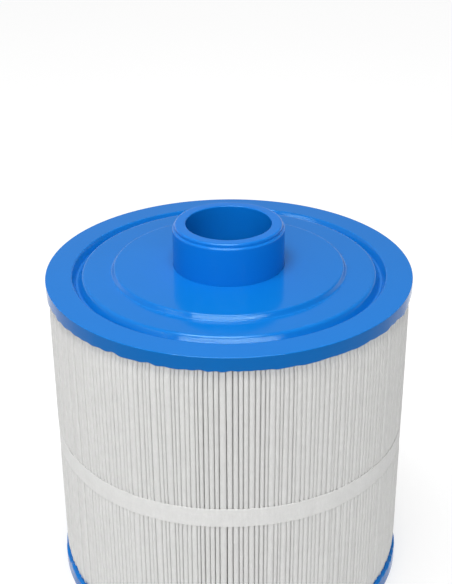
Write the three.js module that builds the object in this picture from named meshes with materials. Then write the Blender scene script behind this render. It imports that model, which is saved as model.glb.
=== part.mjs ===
// Pool and spa filter cartridge: a ring of pleated media on a perforated core, cast into two
// polyurethane end caps, with a rigid outlet spigot standing out of the top cap.
// Millimetres, +Z up. The origin is the centre of the underside of the bottom end cap.

import * as THREE from 'three';

// Driving dimensions
const INCH = 25.4;
const OVERALL_HEIGHT = 9 * INCH;
const CAP_RADIUS = 8.5 * INCH / 2;
const CAP_THICKNESS = 8.8;
const FIT_GAP = 0.3;
const ROUND_SEGMENTS = 64;

// Rings moulded into the end caps, as radii, heights and depths
const GROOVE_OUTER_RADIUS = 92.7;
const GROOVE_INNER_RADIUS = 86.2;
const GROOVE_DEPTH = 4.5;
const GROOVE_OUTER_SLOPE = 2.4;
const GROOVE_INNER_SLOPE = 2.8;
const SHELF_RISE = 0.5;
const DISC_FOOT_RADIUS = 69.2;
const DISC_RADIUS = 67.5;
const DISC_RISE = 3.5;
const FOOT_RECESS = 1.5;

// Outlet spigot
const SPIGOT_RADIUS = 32.8;
const SPIGOT_BORE_RADIUS = 25.15;
const SPIGOT_LIP_RADIUS = 31.7;
const SPIGOT_LIP_RISE = 2.5;
const FLANGE_RADIUS = 41;
const FLANGE_THICKNESS = 3.4;
const SKIRT_WALL = 3;
const SKIRT_DEPTH = 6.5;

// Perforated core: flat-sided sections stacked end to end
const CORE_SECTIONS = 4;
const CORE_SIDES = 24;
const CORE_OUTER_RADIUS = 39.7;
const CORE_INNER_RADIUS = 36.95;
const WINDOW_ROWS = 2;
const SIDES_PER_WINDOW = 3;
const CORE_RING_HEIGHT = 5;
const PLUG_THICKNESS = 3;
const PLUG_BOSS_HEIGHT = 5;
const PLUG_BOSS_RADIUS = 36.2;

// Pleated sheet, its seam and its band
const PLEATS = 220;
const PLEAT_OUTER_RADIUS = 106.1;
const PLEAT_INNER_RADIUS = 40.1;
const PLEAT_CREST_WIDTH = 2.2;
const VALLEY_DEPTH = 5;
const SEAM_THICKNESS = 0.5;
const SEAM_WIDTH = 9;
const SEAM_MARGIN = 1;
const BAND_HEIGHT = 12;
const BAND_DROP = 3;
const BAND_INNER_RADIUS = 106.55;
const BAND_THICKNESS = 0.7;

// Heights worked out from the driving dimensions
const SPIGOT_RISE = 29.1;
const RIM_Z = OVERALL_HEIGHT - SPIGOT_RISE;
const TOP_CAP_UNDERSIDE = RIM_Z - CAP_THICKNESS;
const MEDIA_BOTTOM = CAP_THICKNESS + FIT_GAP;
const MEDIA_TOP = TOP_CAP_UNDERSIDE - FIT_GAP;
const FLANGE_BOTTOM = TOP_CAP_UNDERSIDE + FIT_GAP;
const FLANGE_TOP = FLANGE_BOTTOM + FLANGE_THICKNESS;
const PLUG_BOTTOM = CAP_THICKNESS + FIT_GAP;
const CORE_BOTTOM = PLUG_BOTTOM + PLUG_THICKNESS + FIT_GAP;
const CORE_TOP = FLANGE_BOTTOM - FIT_GAP;
const SECTION_HEIGHT = (CORE_TOP - CORE_BOTTOM - (CORE_SECTIONS - 1) * FIT_GAP) / CORE_SECTIONS;

const plastic = (color, roughness) =>
  new THREE.MeshStandardMaterial({ color, roughness, metalness: 0 });
const polyurethane = plastic(0x1a6fd6, 0.3);
const spigotPlastic = plastic(0x156bd0, 0.25);
const corePlastic = plastic(0xdedfdc, 0.6);
const polyester = plastic(0xeeeeec, 0.95);
const strapping = plastic(0xf2f2f0, 0.85);
const hotMelt = plastic(0xe6dfc8, 0.5);

const cartridge = new THREE.Group();

function addPiece(name, geometry, material) {
  const piece = new THREE.Mesh(geometry, material);
  piece.name = name;
  cartridge.add(piece);
  return piece;
}

// A solid of revolution about Z. The profile is a list of [radius, height], anticlockwise as seen
// with the radius to the right; a profile off the axis is closed back to its first point.
function revolve(profile, segments = ROUND_SEGMENTS) {
  const points = profile.map(([radius, height]) => new THREE.Vector2(radius, height));
  if (profile[0][0] > 0) points.push(points[0].clone());
  return new THREE.LatheGeometry(points, segments).rotateX(Math.PI / 2);
}

const polar = (radius, angle) =>
  new THREE.Vector2(radius * Math.cos(angle), radius * Math.sin(angle));

// Top end cap: a flat rim, a groove with sloping walls, a shelf, and a raised disc with a sloping edge.
// A pocket in its underside holds the spigot's flange.
function topEndCap() {
  const holeRadius = SPIGOT_RADIUS + FIT_GAP;
  const pocketRadius = FLANGE_RADIUS + FIT_GAP;
  const pocketTop = FLANGE_TOP + FIT_GAP;
  return revolve([
    [holeRadius, pocketTop],
    [pocketRadius, pocketTop],
    [pocketRadius, TOP_CAP_UNDERSIDE],
    [CAP_RADIUS, TOP_CAP_UNDERSIDE],
    [CAP_RADIUS, RIM_Z],
    [GROOVE_OUTER_RADIUS, RIM_Z],
    [GROOVE_OUTER_RADIUS - GROOVE_OUTER_SLOPE, RIM_Z - GROOVE_DEPTH],
    [GROOVE_INNER_RADIUS + GROOVE_INNER_SLOPE, RIM_Z - GROOVE_DEPTH],
    [GROOVE_INNER_RADIUS, RIM_Z + SHELF_RISE],
    [DISC_FOOT_RADIUS, RIM_Z + SHELF_RISE],
    [DISC_RADIUS, RIM_Z + DISC_RISE],
    [holeRadius, RIM_Z + DISC_RISE],
  ]);
}

// Outlet spigot: a thick collar with a lip round its bore, a flange cast into the cap, and a skirt
// that locates the top of the core.
function outletSpigot() {
  const skirtRadius = CORE_INNER_RADIUS * Math.cos(Math.PI / CORE_SIDES) - FIT_GAP;
  const skirtBottom = FLANGE_BOTTOM - SKIRT_DEPTH;
  const ledge = OVERALL_HEIGHT - SPIGOT_LIP_RISE;
  return revolve([
    [SPIGOT_BORE_RADIUS, FLANGE_BOTTOM],
    [skirtRadius - SKIRT_WALL, FLANGE_BOTTOM],
    [skirtRadius - SKIRT_WALL, skirtBottom],
    [skirtRadius, skirtBottom],
    [skirtRadius, FLANGE_BOTTOM],
    [FLANGE_RADIUS, FLANGE_BOTTOM],
    [FLANGE_RADIUS, FLANGE_TOP],
    [SPIGOT_RADIUS, FLANGE_TOP],
    [SPIGOT_RADIUS, ledge],
    [SPIGOT_LIP_RADIUS, ledge],
    [SPIGOT_LIP_RADIUS, OVERALL_HEIGHT],
    [SPIGOT_BORE_RADIUS, OVERALL_HEIGHT],
  ]);
}

// Bottom end cap: closed, with the same rim and groove facing down and a shallow recess in its middle.
function bottomEndCap() {
  return revolve([
    [0, FOOT_RECESS],
    [DISC_RADIUS, FOOT_RECESS],
    [DISC_FOOT_RADIUS, 0],
    [GROOVE_INNER_RADIUS, 0],
    [GROOVE_INNER_RADIUS + GROOVE_INNER_SLOPE, GROOVE_DEPTH],
    [GROOVE_OUTER_RADIUS - GROOVE_OUTER_SLOPE, GROOVE_DEPTH],
    [GROOVE_OUTER_RADIUS, 0],
    [CAP_RADIUS, 0],
    [CAP_RADIUS, CAP_THICKNESS],
    [0, CAP_THICKNESS],
  ]);
}

// Core plug: a disc under the core with a boss that locates the lowest section.
function corePlug() {
  const discTop = PLUG_BOTTOM + PLUG_THICKNESS;
  const bossTop = discTop + PLUG_BOSS_HEIGHT;
  return revolve([
    [0, PLUG_BOTTOM],
    [CORE_OUTER_RADIUS, PLUG_BOTTOM],
    [CORE_OUTER_RADIUS, discTop],
    [PLUG_BOSS_RADIUS, discTop],
    [PLUG_BOSS_RADIUS, bossTop],
    [0, bossTop],
  ]);
}

// One core section: a flat-sided tube made of rings joined by ribs, with open windows between.
// Each cell of the grid is solid or open, and a solid cell gets a face wherever it meets the air.
function coreSection() {
  const windowHeight = (SECTION_HEIGHT - (WINDOW_ROWS + 1) * CORE_RING_HEIGHT) / WINDOW_ROWS;
  const levels = [0];
  for (let row = 0; row < WINDOW_ROWS; row += 1) {
    const floor = levels[levels.length - 1] + CORE_RING_HEIGHT;
    levels.push(floor, floor + windowHeight);
  }
  levels.push(SECTION_HEIGHT);
  const rows = levels.length - 1;
  const isSolid = (side, row) => {
    if (row < 0 || row >= rows) return false;
    return row % 2 === 0 || side % SIDES_PER_WINDOW === 0;
  };
  const corner = (radius, side, level) => {
    const spot = polar(radius, (side % CORE_SIDES) * 2 * Math.PI / CORE_SIDES);
    return [spot.x, spot.y, levels[level]];
  };
  const positions = [];
  const addFace = (a, b, c, d) => positions.push(...a, ...b, ...c, ...a, ...c, ...d);
  for (let side = 0; side < CORE_SIDES; side += 1) {
    for (let row = 0; row < rows; row += 1) {
      if (!isSolid(side, row)) continue;
      const outer = (s, level) => corner(CORE_OUTER_RADIUS, side + s, row + level);
      const inner = (s, level) => corner(CORE_INNER_RADIUS, side + s, row + level);
      addFace(outer(0, 0), outer(1, 0), outer(1, 1), outer(0, 1));
      addFace(inner(0, 0), inner(0, 1), inner(1, 1), inner(1, 0));
      if (!isSolid(side, row + 1)) addFace(outer(0, 1), outer(1, 1), inner(1, 1), inner(0, 1));
      if (!isSolid(side, row - 1)) addFace(outer(0, 0), inner(0, 0), inner(1, 0), outer(1, 0));
      if (!isSolid((side + 1) % CORE_SIDES, row)) {
        addFace(outer(1, 0), inner(1, 0), inner(1, 1), outer(1, 1));
      }
      if (!isSolid((side + CORE_SIDES - 1) % CORE_SIDES, row)) {
        addFace(outer(0, 0), outer(0, 1), inner(0, 1), inner(0, 0));
      }
    }
  }
  const geometry = new THREE.BufferGeometry();
  geometry.setAttribute('position', new THREE.Float32BufferAttribute(positions, 3));
  geometry.computeVertexNormals();
  return geometry;
}

// Pleated media: the solid that the folded sheet fills, from the core to the crests. Its outside has every
// crest and valley; the sheet's two ends meet at the first crest, where a slot holds the seam bead.
function pleatedMedia() {
  const pitch = 2 * Math.PI / PLEATS;
  const crest = PLEAT_CREST_WIDTH / 2 / PLEAT_OUTER_RADIUS;
  const slotHalfWidth = SEAM_THICKNESS / 2 + FIT_GAP;
  const slotRadius = PLEAT_OUTER_RADIUS - SEAM_MARGIN - SEAM_WIDTH - FIT_GAP;
  const slotCorner = (radius, side) =>
    new THREE.Vector2(Math.sqrt(radius ** 2 - slotHalfWidth ** 2), side * slotHalfWidth);
  const outline = new THREE.Shape();
  outline.moveTo(...slotCorner(slotRadius, 1).toArray());
  outline.lineTo(...slotCorner(PLEAT_OUTER_RADIUS, 1).toArray());
  for (let pleat = 0; pleat < PLEATS; pleat += 1) {
    const start = pleat * pitch;
    outline.lineTo(...polar(PLEAT_OUTER_RADIUS, start + crest).toArray());
    outline.lineTo(...polar(PLEAT_OUTER_RADIUS - VALLEY_DEPTH, start + pitch / 2).toArray());
    outline.lineTo(...polar(PLEAT_OUTER_RADIUS, start + pitch - crest).toArray());
  }
  outline.lineTo(...slotCorner(PLEAT_OUTER_RADIUS, -1).toArray());
  outline.lineTo(...slotCorner(slotRadius, -1).toArray());
  outline.closePath();
  const hole = Array.from({ length: ROUND_SEGMENTS }, (_, side) =>
    polar(PLEAT_INNER_RADIUS, side * 2 * Math.PI / ROUND_SEGMENTS));
  outline.holes.push(new THREE.Path(hole));
  const depth = MEDIA_TOP - MEDIA_BOTTOM;
  return new THREE.ExtrudeGeometry(outline, { depth, bevelEnabled: false });
}

// Seam bead: a flat strip of hot-melt between the two end legs of the sheet.
function seamBead() {
  return new THREE.BoxGeometry(SEAM_WIDTH, SEAM_THICKNESS, MEDIA_TOP - MEDIA_BOTTOM);
}

// Pleat band: a strap that holds the crests a little below mid-height.
function pleatBand() {
  const bottom = (RIM_Z - BAND_HEIGHT) / 2 - BAND_DROP;
  const top = bottom + BAND_HEIGHT;
  const outerRadius = BAND_INNER_RADIUS + BAND_THICKNESS;
  return revolve([
    [BAND_INNER_RADIUS, bottom],
    [outerRadius, bottom],
    [outerRadius, top],
    [BAND_INNER_RADIUS, top],
  ]);
}

addPiece('bottom_end_cap', bottomEndCap(), polyurethane);
addPiece('core_plug', corePlug(), corePlastic);
for (let section = 0; section < CORE_SECTIONS; section += 1) {
  const piece = addPiece(`core_section_${section + 1}`, coreSection(), corePlastic);
  piece.position.z = CORE_BOTTOM + section * (SECTION_HEIGHT + FIT_GAP);
}
const media = addPiece('pleated_media', pleatedMedia(), polyester);
media.position.z = MEDIA_BOTTOM;
const seam = addPiece('seam_bead', seamBead(), hotMelt);
seam.position.x = PLEAT_OUTER_RADIUS - SEAM_MARGIN - SEAM_WIDTH / 2;
seam.position.z = (MEDIA_TOP + MEDIA_BOTTOM) / 2;
addPiece('pleat_band', pleatBand(), strapping);
addPiece('top_end_cap', topEndCap(), polyurethane);
addPiece('outlet_spigot', outletSpigot(), spigotPlastic);

export default cartridge;
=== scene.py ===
import math

import bmesh
import bpy
import numpy as np
from mathutils import Matrix, Vector


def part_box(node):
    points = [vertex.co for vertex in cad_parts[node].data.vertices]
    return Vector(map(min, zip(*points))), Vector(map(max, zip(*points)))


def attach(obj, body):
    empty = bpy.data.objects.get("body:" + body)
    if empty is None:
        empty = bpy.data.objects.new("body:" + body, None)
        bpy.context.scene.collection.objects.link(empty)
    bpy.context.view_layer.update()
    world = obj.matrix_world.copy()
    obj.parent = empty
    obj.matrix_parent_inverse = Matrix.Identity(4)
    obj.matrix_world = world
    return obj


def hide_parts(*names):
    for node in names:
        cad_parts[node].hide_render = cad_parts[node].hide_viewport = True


# Studio picture of a pleated pool and spa filter cartridge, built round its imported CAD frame.
# Metres, +Z up, in the frame's own axes. Profiles are written in millimetres from the rim or the floor.

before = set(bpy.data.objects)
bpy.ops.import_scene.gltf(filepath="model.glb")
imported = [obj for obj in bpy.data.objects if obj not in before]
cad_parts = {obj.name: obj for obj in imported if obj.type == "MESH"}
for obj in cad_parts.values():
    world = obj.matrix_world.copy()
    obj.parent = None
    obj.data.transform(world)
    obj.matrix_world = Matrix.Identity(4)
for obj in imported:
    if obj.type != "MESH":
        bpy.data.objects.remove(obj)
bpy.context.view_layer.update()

MM = 0.001
TURN = 2 * math.pi

# Sizes and heights read from the frame
top_low, top_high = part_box("top_end_cap")
base_low, base_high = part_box("bottom_end_cap")
media_low, media_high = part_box("pleated_media")
band_low, band_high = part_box("pleat_band")
_, core_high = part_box("core_section_1")
_, spigot_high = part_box("outlet_spigot")

CAP_RADIUS = top_high.x
CAP_THICKNESS = base_high.z - base_low.z
RIM_Z = top_low.z + CAP_THICKNESS
CREST_RADIUS = media_high.x
CORE_RADIUS = core_high.x
BAND_Z = (band_low.z + band_high.z) / 2

# Rings moulded into both caps, in millimetres: radii, then heights and depths
GROOVE_OUTER, GROOVE_INNER = 92.7, 86.2
GROOVE_FLOOR_OUTER, GROOVE_FLOOR_INNER = 90.3, 89.0
DISC_FOOT, DISC_EDGE = 69.2, 67.5
GROOVE_DEPTH = 4.5
SHELF_RISE = 0.5
FOOT_RECESS = 1.5
POCKET_DEPTH = 4.8

# Outlet spigot, in millimetres
COLLAR_RADIUS = 32.8
BORE_RADIUS = 25.15
FLANGE_DEPTH = 8.5
FLANGE_THICKNESS = 3.4
SKIRT_INNER, SKIRT_OUTER = 33.3, 36.3
SKIRT_DEPTH = 6.5
LIP_RISE = 2.5

# Pleats, as many as on the CAD model. A crest is round over CREST_BULGE, and a fold on the core is narrow.
PLEATS = 220
PITCH = TURN / PLEATS
SHEET = 0.42 * MM
CREST_BULGE = 0.75 * MM
FOLD_HALF_WIDTH = 0.28 * MM
FOLD_CLEARANCE = 0.6 * MM
SHOULDER_DEPTH = 9 * MM

# The strap round the pleats, in millimetres, and where its ends lap
STRAP_THICKNESS = 0.4
LAP_MIDDLE, LAP_HALF = math.radians(118), math.radians(7)

# Steps round the axis
CAP_SEGMENTS, SPIGOT_SEGMENTS, STRAP_SEGMENTS = 480, 256, 960

# The front pleats gather towards LOOSE_ANGLE, and those within about LOOSE_SPREAD of it stand apart
LOOSE_ANGLE = math.radians(271)
LOOSE_SPREAD = math.radians(9)
GATHER = 0.1
PART = 0.035


# ---------------------------------------------------------------- profiles and meshes

def rounded(corners, steps=4, guard=0.35):
    """A closed profile's points in millimetres, from corners of (radius, height, fillet), anticlockwise.

    Each long straight stretch gets a guard point near each end, so that smooth shading stays in the fillets.
    """
    spots = [np.array(corner[:2], float) for corner in corners]
    outline = []
    for i, (spot, corner) in enumerate(zip(spots, corners)):
        before, after = spots[i - 1] - spot, spots[(i + 1) % len(spots)] - spot
        before, after = before / np.linalg.norm(before), after / np.linalg.norm(after)
        half = math.acos(np.clip(before @ after, -1, 1)) / 2
        fillet = corner[2]
        middle = (before + after) / np.linalg.norm(before + after)
        centre = spot + middle * fillet / math.sin(half)
        start, end = spot + before * fillet / math.tan(half), spot + after * fillet / math.tan(half)
        first = math.atan2(*(start - centre)[::-1])
        sweep = (math.atan2(*(end - centre)[::-1]) - first + math.pi) % TURN - math.pi
        for step in range(steps + 1):
            angle = first + sweep * step / steps
            outline.append(centre + fillet * np.array([math.cos(angle), math.sin(angle)]))
    points = []
    for i, point in enumerate(outline):
        points.append(point)
        along = outline[(i + 1) % len(outline)] - point
        length = np.linalg.norm(along)
        if length > 4 * guard:
            points += [point + along * guard / length, point + along * (1 - guard / length)]
    return np.array(points)


def mesh_piece(name, vertices, faces, material):
    """A smooth-shaded piece that rides the frame's one body."""
    mesh = bpy.data.meshes.new(name)
    mesh.from_pydata(vertices.tolist(), [], faces)
    mesh.shade_smooth()
    mesh.materials.append(material)
    mesh.update()
    piece = bpy.data.objects.new(name, mesh)
    bpy.context.scene.collection.objects.link(piece)
    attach(piece, "root")
    return piece


def grid_faces(rows, columns):
    """Quads over a grid of vertices numbered row by row, closed both ways like a ring."""
    faces = []
    for i in range(rows):
        here, onward = i * columns, (i + 1) % rows * columns
        for j in range(columns):
            following = (j + 1) % columns
            faces.append((here + j, onward + j, onward + following, here + following))
    return faces


def revolve(name, profile, segments, material, shift=None):
    """A solid of revolution about Z, from a profile in millimetres.

    shift(angles, radii, heights) gives what to add to the radii and to the heights, in metres.
    """
    angles = (np.arange(segments) * TURN / segments)[:, None]
    radii, heights = profile[:, 0][None, :] * MM, profile[:, 1][None, :] * MM
    radii, heights = np.broadcast_arrays(radii + 0 * angles, heights + 0 * angles)
    if shift:
        more_radius, more_height = shift(angles, radii, heights)
        radii, heights = radii + more_radius, heights + more_height
    vertices = np.stack([radii * np.cos(angles), radii * np.sin(angles), heights], -1).reshape(-1, 3)
    piece = mesh_piece(name, vertices, grid_faces(segments, len(profile)), material)
    merge_close(piece.data)
    return piece


def merge_close(mesh):
    """Merges vertices that share a spot, as on the axis, and drops the faces this flattens."""
    shape = bmesh.new()
    shape.from_mesh(mesh)
    bmesh.ops.remove_doubles(shape, verts=shape.verts, dist=1e-7)
    shape.to_mesh(mesh)
    shape.free()


def ripple(angles, lowest, highest, seed):
    """Smooth noise round the axis, about 1 high, made of lowest to highest waves a turn."""
    random = np.random.default_rng(seed)
    total = np.zeros_like(angles, dtype=float)
    for waves in range(lowest, highest + 1):
        total += random.normal() * np.cos(waves * angles + random.uniform(0, TURN))
    return total / math.sqrt((highest - lowest + 1) / 2)


def smoothstep(x):
    """A soft step from 0 to 1 as x goes from 0 to 1."""
    x = np.clip(x, 0, 1)
    return x * x * (3 - 2 * x)


# ---------------------------------------------------------------- materials

def node(tree, kind, inputs=None, **settings):
    """A shader node. inputs maps a socket's name or number to a value, or to a socket to link from."""
    made = tree.nodes.new("ShaderNode" + kind)
    for key, value in settings.items():
        setattr(made, key, value)
    for key, value in (inputs or {}).items():
        if isinstance(value, bpy.types.NodeSocket):
            tree.links.new(value, made.inputs[key])
        else:
            made.inputs[key].default_value = value
    return made


def new_material(name):
    """A node material with only its output, and a Principled shader linked to it."""
    material = bpy.data.materials.new(name)
    material.use_nodes = True
    tree = material.node_tree
    tree.nodes.clear()
    shader = node(tree, "BsdfPrincipled")
    node(tree, "OutputMaterial", {"Surface": shader.outputs["BSDF"]})
    return material, tree, shader


def scaled_noise(tree, vector, scale, detail=2.0, roughness=0.5):
    """Noise from 0 to 1, with scale features to the metre."""
    return node(tree, "TexNoise", {
        "Vector": vector, "Scale": scale, "Detail": detail, "Roughness": roughness,
    }).outputs["Fac"]


def two_tone(tree, factor, dark, light):
    """A colour from dark to light as the factor goes from 0 to 1."""
    inputs = {"Factor": factor, "A": (*dark, 1), "B": (*light, 1)}
    return node(tree, "Mix", inputs, data_type="RGBA").outputs["Result"]


def ranged(tree, value, low, high, from_low=0.3, from_high=0.7):
    """A value from low to high as the given value goes from from_low to from_high."""
    return node(tree, "MapRange", {
        "Value": value, "From Min": from_low, "From Max": from_high, "To Min": low, "To Max": high,
    }).outputs["Result"]


def bumped(tree, height, strength, distance, normal=None):
    """A bump of a height from 0 to 1, distance metres deep at full strength."""
    inputs = {"Height": height, "Strength": strength, "Distance": distance}
    if normal:
        inputs["Normal"] = normal
    return node(tree, "Bump", inputs).outputs["Normal"]


def turning_vector(tree, position, arc):
    """Coordinates for marks that run round the axis: slow round it, and full size across the marks."""
    flat = node(tree, "VectorMath", {0: position, 1: (1, 1, 0)}, operation="MULTIPLY").outputs[0]
    radius = node(tree, "VectorMath", {0: flat}, operation="LENGTH").outputs["Value"]
    unit = node(tree, "VectorMath", {0: flat}, operation="NORMALIZE").outputs[0]
    circle = node(tree, "VectorMath", {0: unit, "Scale": arc}, operation="SCALE").outputs[0]
    height = node(tree, "SeparateXYZ", {"Vector": position}).outputs["Z"]
    across = node(tree, "Math", {0: height, 1: radius}, operation="SUBTRACT").outputs[0]
    lifted = node(tree, "CombineXYZ", {"Z": across}).outputs[0]
    return node(tree, "VectorMath", {0: circle, 1: lifted}, operation="ADD").outputs[0]


def moulded_plastic(name, dark, light, roughness, marks=0.0, upright_painted_shade=1.0, tint=(1, 1, 1)):
    """Glossy moulded plastic: a soft mottle in the colour, uneven gloss and orange peel.

    marks adds the mould's turning marks, which run round the axis on the sloping faces. Upright faces,
    which slid against the mould as it opened, are duller. upright_painted_shade is painted shade: how light
    the colour of the steep faces is painted, standing in for the lesser light they get than faces turned up.
    tint colours the highlights.
    """
    material, tree, shader = new_material(name)
    position = node(tree, "TexCoord").outputs["Object"]
    mottle = scaled_noise(tree, position, 22, 3)
    gloss = scaled_noise(tree, position, 140, 4)
    peel = scaled_noise(tree, position, 300, 2)
    face = node(tree, "SeparateXYZ", {"Vector": node(tree, "NewGeometry").outputs["Normal"]}).outputs["Z"]
    below = ranged(tree, face, 1, 0, 0.75, 0.95)
    above = ranged(tree, face, 0, marks, 0.05, 0.3)
    sloping = node(tree, "Math", {0: below, 1: above}, operation="MULTIPLY").outputs[0]
    turned = scaled_noise(tree, turning_vector(tree, position, 0.012), 1500, 3, 0.65)
    normal = bumped(tree, turned, sloping, 0.0001, bumped(tree, peel, 0.03, 0.0004))
    shader.inputs["Specular Tint"].default_value = (*tint, 1)
    tree.links.new(ranged(tree, face, 0.14, 0.5, 0.1, 0.4), shader.inputs["Specular IOR Level"])
    colour = two_tone(tree, mottle, dark, light)
    # Painted shade: the colour of steep faces is scaled darker, standing in for the lesser light that reaches
    # them than faces turned up.
    shade = ranged(tree, face, upright_painted_shade, 1, 0.1, 0.4)
    colour = node(tree, "VectorMath", {"Vector": colour, "Scale": shade}, operation="SCALE").outputs["Vector"]
    tree.links.new(colour, shader.inputs["Base Color"])
    tree.links.new(ranged(tree, gloss, *roughness), shader.inputs["Roughness"])
    tree.links.new(normal, shader.inputs["Normal"])
    shader.inputs["IOR"].default_value = 1.5
    return material


def spunbond(name, dark, light, fibre_depth):
    """Non-woven polyester: matted fibres, a cloudy weight and a faint sheen."""
    material, tree, shader = new_material(name)
    position = node(tree, "TexCoord").outputs["Object"]
    stretched = node(tree, "Mapping", {"Vector": position, "Scale": (1, 1, 0.35)}).outputs["Vector"]
    cloud = scaled_noise(tree, position, 190, 4, 0.6)
    fibres = node(tree, "TexNoise", {
        "Vector": stretched, "Scale": 1500, "Detail": 4, "Roughness": 0.7, "Distortion": 1.4,
    }).outputs["Fac"]
    normal = bumped(tree, cloud, 0.25, 0.0006)
    normal = bumped(tree, fibres, fibre_depth, 0.0002, normal)
    tone = node(tree, "Math", {0: cloud, 1: fibres}, operation="MULTIPLY").outputs[0]
    colour = two_tone(tree, ranged(tree, tone, 0, 1, 0.1, 0.4), dark, light)
    tree.links.new(colour, shader.inputs["Base Color"])
    tree.links.new(ranged(tree, fibres, 0.95, 0.75), shader.inputs["Roughness"])
    tree.links.new(normal, shader.inputs["Normal"])
    shader.inputs["Specular IOR Level"].default_value = 0.25
    shader.inputs["Sheen Weight"].default_value = 0.15
    shader.inputs["Sheen Roughness"].default_value = 0.6
    return material


BLUE_TINT = (0.6, 1, 1)
polyurethane = moulded_plastic(
    "polyurethane", (0.002, 0.162, 0.565), (0.004, 0.176, 0.605), (0.10, 0.15),
    marks=0.5, upright_painted_shade=0.74, tint=BLUE_TINT)
spigot_plastic = moulded_plastic(
    "spigot_abs", (0.002, 0.162, 0.600), (0.003, 0.174, 0.645), (0.18, 0.25), tint=BLUE_TINT)
core_plastic = moulded_plastic("core_abs", (0.60, 0.61, 0.58), (0.70, 0.71, 0.68), (0.42, 0.55))
polyester = spunbond("polyester_media", (0.63, 0.63, 0.62), (0.70, 0.70, 0.69), 0.35)
strapping = spunbond("polyester_strap", (0.66, 0.66, 0.65), (0.73, 0.73, 0.72), 0.6)
hot_melt = moulded_plastic("hot_melt", (0.62, 0.56, 0.40), (0.74, 0.69, 0.54), (0.25, 0.45))


# ---------------------------------------------------------------- end caps

def creep(angles, seed):
    """How far the casting's edge runs past its nominal height, in metres: slow waves with short bumps."""
    waves = 0.22 * ripple(angles, 4, 14, seed) + 0.2 * ripple(angles, 20, 44, seed + 1)
    return (waves + 0.2 * ripple(angles, 56, 96, seed + 2)) * MM


def at_free_edge(past_face, radii):
    """1 at a cap's free edge, by the pleats, and 0 at its face and further in. Both values are in metres."""
    return smoothstep(past_face / (6.5 * MM)) * smoothstep((radii - 98 * MM) / (5 * MM))


def top_end_cap():
    rim, disc, edge = RIM_Z / MM, top_high.z / MM, CAP_RADIUS / MM
    under, pocket_top = rim - CAP_THICKNESS / MM, rim - POCKET_DEPTH
    hole, pocket = COLLAR_RADIUS + 0.05, spigot_high.x / MM + 0.3
    shelf, groove = rim + SHELF_RISE, rim - GROOVE_DEPTH
    corners = [
        (hole, pocket_top, 0.2), (pocket, pocket_top, 0.2), (pocket, under, 0.3),
        (edge - 0.25, under, 1.0), (edge, rim, 0.35), (GROOVE_OUTER, rim, 0.9),
        (GROOVE_FLOOR_OUTER, groove, 0.9), (GROOVE_FLOOR_INNER, groove, 0.9), (GROOVE_INNER, shelf, 2.2),
        (DISC_FOOT, shelf, 1.2), (DISC_EDGE, disc, 1.2), (hole, disc, 0.12),
    ]

    def shift(angles, radii, heights):
        low = at_free_edge(RIM_Z - 1.5 * MM - heights, radii)
        return 0.1 * MM * ripple(angles, 12, 40, 7) * low, -creep(angles, 11) * low

    cap = revolve(
        "top_cap_casting", rounded(corners), CAP_SEGMENTS, polyurethane, shift)
    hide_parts("top_end_cap")


def bottom_end_cap():
    thickness, edge = CAP_THICKNESS / MM, CAP_RADIUS / MM
    corners = [
        (0, FOOT_RECESS, 0), (DISC_EDGE, FOOT_RECESS, 0.8), (DISC_FOOT, 0, 0.8), (GROOVE_INNER, 0, 0.9),
        (GROOVE_FLOOR_INNER, GROOVE_DEPTH, 0.9), (GROOVE_FLOOR_OUTER, GROOVE_DEPTH, 0.9),
        (GROOVE_OUTER, 0, 0.9), (edge, 0, 0.8), (edge - 0.2, thickness, 1.0), (0, thickness, 0),
    ]

    def shift(angles, radii, heights):
        high = at_free_edge(heights - 2 * MM, radii)
        return 0.1 * MM * ripple(angles, 12, 40, 8) * high, creep(angles, 21) * high

    cap = revolve(
        "bottom_cap_casting", rounded(corners), CAP_SEGMENTS, polyurethane, shift)
    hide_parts("bottom_end_cap")


# ---------------------------------------------------------------- outlet spigot

def outlet_spigot():
    """A collar with a ledge under its lip, a flange cast into the cap, and a skirt inside the core."""
    lip, flange = spigot_high.z / MM, spigot_high.x / MM
    foot = RIM_Z / MM - FLANGE_DEPTH
    skirt_foot, flange_top, ledge = foot - SKIRT_DEPTH, foot + FLANGE_THICKNESS, lip - LIP_RISE
    corners = [
        (BORE_RADIUS, foot, 0.3), (SKIRT_INNER, foot, 0.3),
        (SKIRT_INNER, skirt_foot, 0.4), (SKIRT_OUTER, skirt_foot, 0.4), (SKIRT_OUTER, foot, 0.3),
        (flange, foot, 0.4), (flange, flange_top, 0.4), (COLLAR_RADIUS, flange_top, 0.3),
        (COLLAR_RADIUS, ledge + 0.2, 0.95), (COLLAR_RADIUS - 1.35, ledge, 0.25),
        (COLLAR_RADIUS - 1.2, lip, 1.1), (BORE_RADIUS, lip, 0.6),
    ]
    profile = rounded(corners, steps=5)
    spigot = revolve("spigot_moulding", profile, SPIGOT_SEGMENTS, spigot_plastic)
    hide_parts("outlet_spigot")


# ---------------------------------------------------------------- pleated media

def pleat_levels():
    """Heights of the sheet's rows: even, with more of them at the band and at the caps."""
    low, high = media_low.z - 2 * MM, media_high.z + 3.5 * MM
    at_ends = [low, media_low.z + 2 * MM, media_low.z + 5.5 * MM]
    at_ends += [media_high.z - 5.5 * MM, media_high.z - 2 * MM, high]
    at_band = [BAND_Z + rise * MM for rise in (-13, -9, -6.4, 6.4, 9, 13)]
    between = [z for z in np.linspace(low, high, 14)[1:-1] if abs(z - BAND_Z) > 17 * MM]
    return np.array(sorted(at_ends + at_band + between))


def gathered(angles):
    """Even angles moved so that the pleats lie closer round the loose ones, with the seam left in place."""
    return angles - GATHER * (np.sin(angles - LOOSE_ANGLE) + math.sin(LOOSE_ANGLE))


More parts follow.
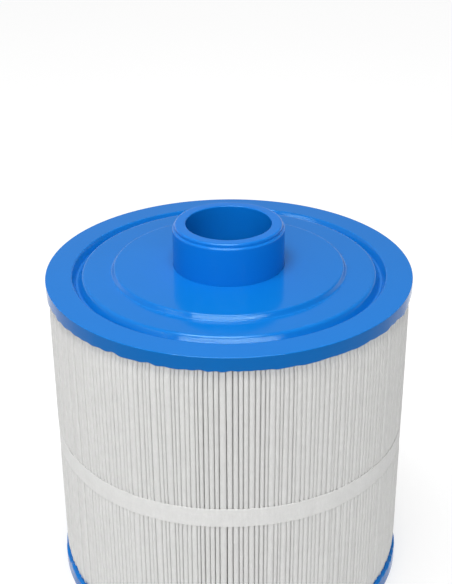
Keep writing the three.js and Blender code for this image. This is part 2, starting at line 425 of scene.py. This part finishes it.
def valley_angles(levels):
    """Where each valley's mouth lies at each level, as an angle, and how wide it is, in metres."""
    random = np.random.default_rng(5)
    share = ((levels - levels[0]) / (levels[-1] - levels[0]))[None, :]
    own, lean, bow = (random.normal(size=(PLEATS, 1)) for _ in range(3))
    group = sum(np.roll(lean, k, axis=0) for k in range(-3, 4)) / math.sqrt(7)
    sway = 0.16 * own + 0.12 * group * (2 * share - 1) + 0.05 * lean * (2 * share - 1)
    sway = sway + 0.06 * bow * np.sin(math.pi * share)
    sway = 0.30 * np.tanh(sway / 0.30)
    angles = gathered((np.arange(PLEATS)[:, None] + 0.5 + sway) * PITCH)
    from_loose = (angles - LOOSE_ANGLE) / LOOSE_SPREAD
    looseness = np.exp(-from_loose ** 2)
    angles = angles + PART * from_loose * looseness
    uneven = 0.07 * random.normal(size=(PLEATS, 1)) + 0.04 * bow * np.cos(math.pi * share)
    mouths = 0.11 + 0.26 * looseness + uneven
    return angles, np.clip(mouths, 0.05, 0.8) * MM


def sheet_path(valleys, mouths, crests, side):
    """The sheet's path at one level, as radii and angles. side is 1 for its outer face, -1 for its inner.

    Each pleat goes round its crest, down to a fold on the core, and back up to the next crest.
    """
    half = SHEET / 2 * side
    fold = CORE_RADIUS + FOLD_CLEARANCE
    radii, angles = [], []

    def put(radius, angle):
        radii.append(radius)
        angles.append(angle)

    def pleat(k, crest):
        """The middle angle of pleat k and half its width, between the valleys on its two sides."""
        last, this = (k - 1) % PLEATS, k % PLEATS
        start = valleys[last] + (k - 1) // PLEATS * TURN + mouths[last] / 2 / crest
        end = valleys[this] + k // PLEATS * TURN - mouths[this] / 2 / crest
        return (start + end) / 2, (end - start) / 2 * crest - SHEET / 2

    for k in range(PLEATS):
        crest = crests[k] - SHEET / 2
        middle, wide = pleat(k, crest)
        bulge = min(wide, CREST_BULGE)
        for turn in (-90, -52, -18, 18, 52, 90):
            a = math.radians(turn)
            across = (wide + half) * math.copysign(abs(math.sin(a)) ** 0.85, a)
            put(crest - bulge + (bulge + half) * math.cos(a), middle + across / crest)
        put(crest - SHOULDER_DEPTH, middle + (wide + half) * 1.02 / crest)
        base = gathered((k + 0.5) * PITCH)
        for way in (-1, 1):
            put(fold + SHEET / 2 + half, base + way * max(FOLD_HALF_WIDTH - half, 0.02 * MM) / fold)
        middle, wide = pleat(k + 1, crest)
        put(crest - SHOULDER_DEPTH, middle - (wide + half) * 1.02 / crest)
    return np.array(radii), np.array(angles)


def crest_radii(levels):
    """Each crest's radius at each level: uneven, pulled in by the band, and tucked in under the caps."""
    uneven = 0.2 * np.random.default_rng(9).normal(size=(PLEATS, 1)).clip(-1.5, 1.5)
    strapped = np.exp(-((levels - BAND_Z) / (8 * MM)) ** 4)[None, :]
    to_cap = np.minimum(levels - media_low.z, media_high.z - levels).clip(0)
    tucked = np.exp(-(to_cap / (4.5 * MM)) ** 2)[None, :]
    return CREST_RADIUS + ((0.5 + uneven) * (1 - strapped) - 0.1 * strapped - 1.3 * tucked) * MM


def pleated_media():
    levels = pleat_levels()
    valleys, mouths = valley_angles(levels)
    crests = crest_radii(levels)
    rows = []
    for side in (1, -1):
        for i in range(len(levels))[::side]:
            radii, angles = sheet_path(valleys[:, i], mouths[:, i], crests[:, i], side)
            height = np.full(len(radii), levels[i])
            rows.append(np.stack([radii * np.cos(angles), radii * np.sin(angles), height], -1))
    faces = [(d, c, b, a) for a, b, c, d in grid_faces(len(rows), len(rows[0]))]
    media = mesh_piece("pleated_sheet", np.concatenate(rows), faces, polyester)
    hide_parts("pleated_media")


# ---------------------------------------------------------------- pleat band

def pleat_band():
    low, high = band_low.z / MM, band_high.z / MM
    inner = CREST_RADIUS / MM - 0.05
    outer = inner + STRAP_THICKNESS
    corners = [(inner, low, 0.1), (outer, low, 0.18), (outer, high, 0.18), (inner, high, 0.1)]

    def shift(angles, radii, heights):
        from_lap = np.abs((angles - LAP_MIDDLE + math.pi) % TURN - math.pi)
        lap = smoothstep((LAP_HALF - from_lap) / math.radians(0.6))
        wander = 0.3 * MM * ripple(angles, 2, 9, 31)
        crests = 0.06 * MM * np.cos(PLEATS * angles) + 0.06 * MM * ripple(angles, 20, 70, 32)
        return crests + lap * (radii - inner * MM), wander + 0 * radii

    profile = rounded(corners, steps=3, guard=1.2)
    band = revolve("pleat_strap", profile, STRAP_SEGMENTS, strapping, shift)
    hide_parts("pleat_band")


top_end_cap()
bottom_end_cap()
outlet_spigot()
pleated_media()
pleat_band()

# CAD nodes that keep their own shape
for name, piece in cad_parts.items():
    if name.startswith("core_") or name == "seam_bead":
        piece.data.materials.clear()
        piece.data.materials.append(hot_melt if name == "seam_bead" else core_plastic)


# ---------------------------------------------------------------- studio

def studio_floor():
    """A plain pale floor that glows a little, less towards the front, so that its shadows stay light."""
    material, tree, shader = new_material("studio_floor")
    position = node(tree, "TexCoord").outputs["Object"]
    cloud = scaled_noise(tree, position, 3, 2)
    depth = node(tree, "SeparateXYZ", {"Vector": position}).outputs["Y"]
    colour = two_tone(tree, cloud, (0.34, 0.34, 0.34), (0.36, 0.36, 0.36))
    tree.links.new(colour, shader.inputs["Base Color"])
    tree.links.new(ranged(tree, depth, 0.38, 0.82, -0.55, 0.2), shader.inputs["Emission Strength"])
    shader.inputs["Roughness"].default_value = 0.8
    shader.inputs["Specular IOR Level"].default_value = 0.1
    shader.inputs["Emission Color"].default_value = (1, 1, 1, 1)
    half = 40.0
    corners = [(-half, -half, 0), (half, -half, 0), (half, half, 0), (-half, half, 0)]
    mesh = bpy.data.meshes.new("studio_floor")
    mesh.from_pydata(corners, [], [(0, 1, 2, 3)])
    mesh.materials.append(material)
    floor = bpy.data.objects.new("studio_floor", mesh)
    bpy.context.scene.collection.objects.link(floor)


def softbox(name, azimuth, elevation, distance, size, share, target):
    """A softbox towards that azimuth, 0 being the camera's side and plus its right, and elevation.

    share is the light it sends to a face turned to it, 1 being what makes a white face look white.
    """
    data = bpy.data.lights.new(name, "AREA")
    data.shape = "RECTANGLE"
    data.size, data.size_y = size
    data.energy = share * (math.pi * distance) ** 2
    light = bpy.data.objects.new(name, data)
    a, e = math.radians(azimuth), math.radians(elevation)
    away = Vector((math.sin(a) * math.cos(e), -math.cos(a) * math.cos(e), math.sin(e)))
    light.location = target + away * distance
    light.rotation_mode = "QUATERNION"
    light.rotation_quaternion = away.to_track_quat("Z", "Y")
    bpy.context.scene.collection.objects.link(light)


def studio_world():
    """Surroundings that are brighter on the left and behind, with a white backdrop low all round."""
    world = bpy.data.worlds.new("studio")
    world.use_nodes = True
    tree = world.node_tree
    tree.nodes.clear()
    direction = node(tree, "TexCoord").outputs["Generated"]
    towards_light = {0: direction, 1: (-0.7, 0.45, 0.1)}
    side = node(tree, "VectorMath", towards_light, operation="DOT_PRODUCT").outputs["Value"]
    height = node(tree, "SeparateXYZ", {"Vector": direction}).outputs["Z"]
    walls = ranged(tree, side, 0.08, 0.44, -0.8, 0.8)
    backdrop = ranged(tree, height, 0.9, 0, 0.08, 0.26)
    strength = node(tree, "Math", {0: walls, 1: backdrop}, operation="MAXIMUM").outputs[0]
    background = node(tree, "Background", {"Color": (1, 1, 1, 1), "Strength": strength})
    node(tree, "OutputWorld", {"Surface": background.outputs["Background"]})
    bpy.context.scene.world = world


def studio_camera():
    """The camera looks down on the rim from the front, a little left of centre and with a slight roll."""
    distance, elevation = 6.506 * CAP_RADIUS, math.radians(25.30)
    pitch, pan, roll = math.radians(26.479), math.radians(-0.16), math.radians(-0.41)
    forward = Vector((math.sin(pan) * math.cos(pitch), math.cos(pan) * math.cos(pitch), -math.sin(pitch)))
    level_right = forward.cross(Vector((0, 0, 1))).normalized()
    level_up = level_right.cross(forward)
    right = level_right * math.cos(roll) + level_up * math.sin(roll)
    up = level_up * math.cos(roll) - level_right * math.sin(roll)
    data = bpy.data.cameras.new("camera")
    data.lens = 73.1
    data.sensor_width = 36
    data.clip_start, data.clip_end = 0.01, 50
    camera = bpy.data.objects.new("camera", data)
    place = Vector((0, -distance * math.cos(elevation), RIM_Z + distance * math.sin(elevation)))
    camera.matrix_world = Matrix.Translation(place) @ Matrix((right, up, -forward)).transposed().to_4x4()
    bpy.context.scene.collection.objects.link(camera)
    bpy.context.scene.camera = camera


studio_floor()
studio_world()
rim_centre = Vector((0, 0, RIM_Z))
softbox("key_softbox", 0, 30, 1.5, (1.8, 0.09), 0.42, rim_centre)
softbox("side_softbox", -60, 30, 1.5, (0.7, 0.09), 0.05, rim_centre)
softbox("top_softbox", -20, 74, 1.0, (0.6, 0.6), 0.9, rim_centre)
studio_camera()
bpy.context.scene.view_settings.view_transform = "Standard"
